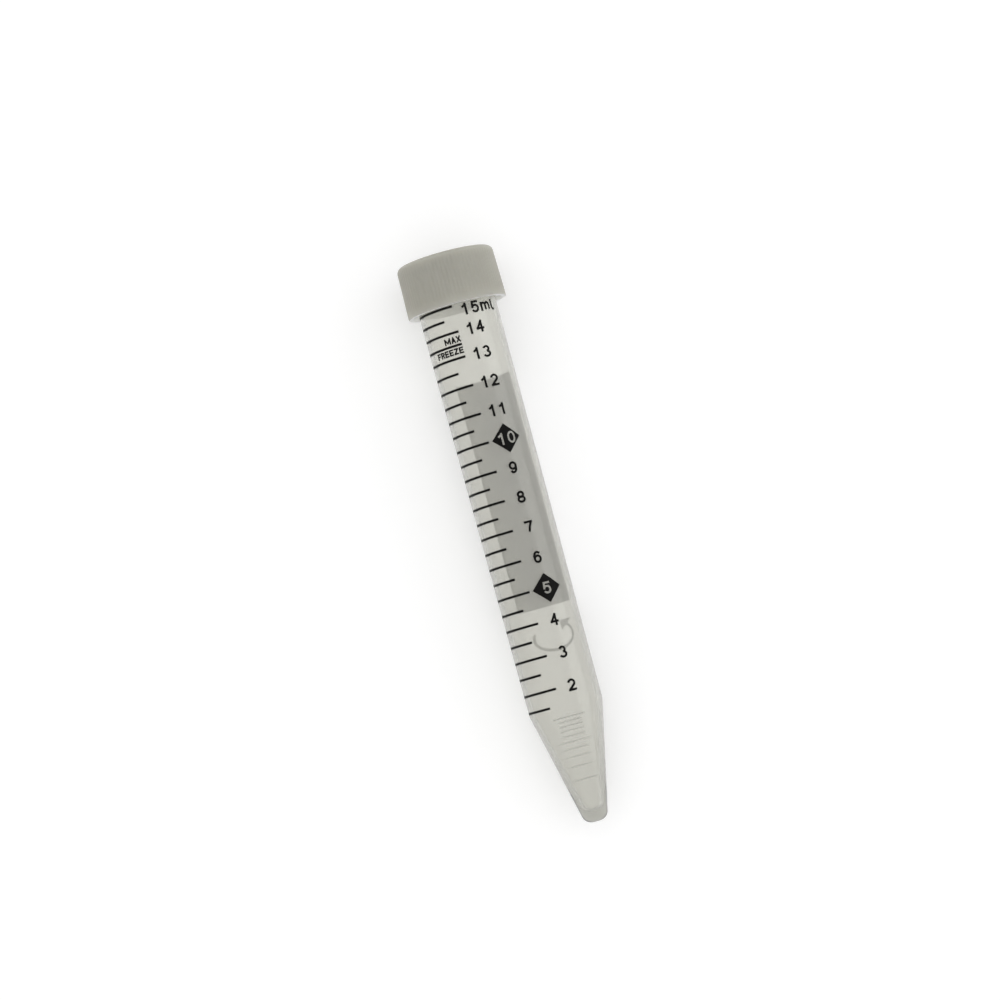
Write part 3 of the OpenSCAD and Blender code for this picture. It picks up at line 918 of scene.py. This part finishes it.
@dataclass(frozen=True)
class Ink:
    """Screen printed ink, a little uneven where the screen left it thin.

    The side that faces away from outward, a direction in the object's frame, has a colour of its own. In the white
    ink it is greyer: painted shade, which darkens the printed panel as seen through the tube.
    """

    slot: Slot
    lean: float
    colour: tuple
    shaded_side_colour: tuple
    opacity: float
    thin: float
    outward: tuple = (0.0, -0.5, -0.87)
    gloss: tuple = (0.38, 0.6)
    blotch: float = 0.1

    def material(self) -> bpy.types.Material:
        """Builds the material.

        Returns:
            The new material, named after its slot.
        """
        finish = Finish(self.slot, self.lean, {"Specular IOR Level": 0.1})
        screen = {"Vector": finish.place, "Screen": 5200.0, "Opacity": self.opacity, "Thin": self.thin}
        cover = finish.effect(Effect.COVER, screen)
        sides = {0: finish.add("TexCoord").outputs["Normal"], 1: self.outward}
        facing = finish.add("VectorMath", sides, operation="DOT_PRODUCT").outputs["Value"]
        # Painted shade: faces towards the wall take the greyer colour
        plain = finish.blend(finish.spread(facing, low=-0.1, high=0.1), self.shaded_side_colour, self.colour)
        blotched = {"Colour": plain, "Mask": cover["Blotch"], "Amount": self.blotch}
        finish.feed("Base Color", finish.effect(Effect.TINT, blotched)["Colour"])
        finish.feed("Roughness", finish.spread(cover["Blotch"], 0.0, 1.0, self.gloss))
        if self.slot is Slot.WHITE:
            finish.feed("Alpha", cover["Cover"])
        finish.bump(cover["Height"], strength=0.15, depth=0.00001)
        return finish.made


# ---- Studio ----


@dataclass
class Studio:
    """White table, soft light and the camera."""

    rest: Rest
    table_size: float = 6.0
    table_white: float = 0.86
    table_rough: float = 0.9
    table_glow: float = 0.25
    white_through: float = 0.93
    flat_share: float = 0.75
    sky: tuple = (0.74, 0.9)
    sky_height: float = 0.8
    lamp_power: float = 3.5
    lamp_length: float = 1.4
    lamp_height: float = 1.0
    lamp_place: tuple = (0.0, -1.25, 0.68)
    lens: float = 126.55
    sensor: float = 36.0
    turn: float = 15.187
    stand_along: float = 0.02074
    stand_high: float = 0.72
    aim_along: float = 0.06855
    off_side: float = 0.001917

    def table(self) -> None:
        """Lays the white table, which shows white but keeps the soft shadow of the tube."""
        half = self.table_size / 2
        points = np.array([[-half, -half, 0], [half, -half, 0], [half, half, 0], [-half, half, 0]])
        table = mesh_object("table", points, [[0, 1, 2, 3]], flat=True)
        made = bpy.data.materials.new("table_white")
        made.use_nodes = True
        nodes = Nodes(made.node_tree)
        shader = made.node_tree.nodes["Principled BSDF"]
        white = self.table_white
        shader.inputs["Base Color"].default_value = (white, white, white, 1.0)
        shader.inputs["Roughness"].default_value = self.table_rough
        shader.inputs["Emission Color"].default_value = (1.0, 1.0, 1.0, 1.0)
        path = nodes.add("LightPath").outputs
        glow = nodes.math("MULTIPLY", path["Is Camera Ray"], self.table_glow)
        made.node_tree.links.new(glow, shader.inputs["Emission Strength"])
        through = nodes.math("MAXIMUM", path["Is Glossy Ray"], path["Is Transmission Ray"])
        share = nodes.math("MULTIPLY", through, self.flat_share)
        glowing = nodes.add("Emission", {"Strength": self.white_through})
        mix = nodes.add("MixShader", {0: share, 1: shader.outputs[0], 2: glowing.outputs[0]})
        surface = made.node_tree.nodes["Material Output"].inputs["Surface"]
        made.node_tree.links.new(mix.outputs[0], surface)
        table.data.materials.append(made)

    def light(self) -> None:
        """Sets a white sky that is brighter overhead, and a soft lamp low on the right."""
        world = bpy.data.worlds.new("studio")
        bpy.context.scene.world = world
        world.use_nodes = True
        nodes = Nodes(world.node_tree)
        height = nodes.add("SeparateXYZ", {0: nodes.add("TexCoord").outputs["Generated"]}).outputs[2]
        sky = nodes.spread(height, 0.0, self.sky_height, self.sky)
        camera = nodes.add("LightPath").outputs["Is Camera Ray"]
        strength = nodes.between(camera, sky, 1.0)
        background = world.node_tree.nodes["Background"]
        background.inputs["Color"].default_value = (1.0, 1.0, 1.0, 1.0)
        world.node_tree.links.new(strength, background.inputs["Strength"])
        lamp = bpy.data.lights.new("softbox", "AREA")
        lamp.shape = "RECTANGLE"
        lamp.size, lamp.size_y = self.lamp_length, self.lamp_height
        lamp.energy = self.lamp_power
        box = bpy.data.objects.new("softbox", lamp)
        box.location = self.lamp_place
        box.rotation_euler = (-box.location).to_track_quat("-Z", "Y").to_euler()
        bpy.context.scene.collection.objects.link(box)

    def camera(self) -> None:
        """Sets the camera above the tube."""
        rest = self.rest
        off = self.off_side * rest.side
        stand = rest.tip + self.stand_along * rest.along + self.stand_high * rest.front - off
        aim = rest.tip + self.aim_along * rest.along - off
        look = (aim - stand).normalized()
        turn = math.radians(self.turn)
        axis = (rest.along - rest.along.dot(look) * look).normalized()
        up = math.cos(turn) * axis + math.sin(turn) * rest.side
        right = math.cos(turn) * rest.side - math.sin(turn) * axis
        data = bpy.data.cameras.new("camera")
        data.lens, data.sensor_width = self.lens, self.sensor
        camera = bpy.data.objects.new("camera", data)
        camera.matrix_world = Matrix(
            [[right[i], up[i], -look[i], stand[i]] for i in range(3)] + [[0, 0, 0, 1]]
        )
        bpy.context.scene.collection.objects.link(camera)
        bpy.context.scene.camera = camera


def hand_over(piece: bpy.types.Object, body: Body, node: str) -> None:
    """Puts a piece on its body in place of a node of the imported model.

    Args:
        piece: The piece.
        body: The body that it rides.
        node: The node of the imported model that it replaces.
    """
    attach(piece, body.value)
    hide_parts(node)
    log.info("%s: %d faces, in place of %s", piece.name, len(piece.data.polygons), node)


def dress_print(ink: Ink) -> None:
    """Gives an ink to every printed node of its slot.

    Args:
        ink: The ink.
    """
    material = ink.material()
    for part in frame["record"]["subparts"]:
        if part["material_slot"] == ink.slot.value:
            for held in frame["nodes"][part["node"]].material_slots:
                held.material = material
            log.info("%s: %s", part["node"], ink.slot.value)


def main() -> None:
    """Builds the pieces in order and reports each one."""
    logging.basicConfig(level=logging.INFO, format="%(name)s: %(message)s")
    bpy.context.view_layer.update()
    bpy.context.scene.view_settings.view_transform = "Standard"
    rest = Rest.from_frame(CapMoulding.top_z * MM)
    lean = math.asin(rest.along.z)
    studio = Studio(rest)
    studio.camera()
    studio.table()
    studio.light()

    make_effects()
    wall = TubeMoulding(rest).build()
    wall.data.materials.append(TubePlastic(lean).material())
    hand_over(wall, Body.TUBE, "tube")
    cap = CapMoulding(rest).build()
    cap.data.materials.append(CapPlastic(lean).material())
    hand_over(cap, Body.CAP, "cap")
    dress_print(Ink(Slot.BLACK, lean, BLACK_INK, BLACK_INK, opacity=1.0, thin=0.0))
    dress_print(Ink(Slot.WHITE, lean, WHITE_INK, WHITE_INK_SHADED_SIDE, opacity=0.97, thin=0.05))


if __name__ == "__main__":
    main()
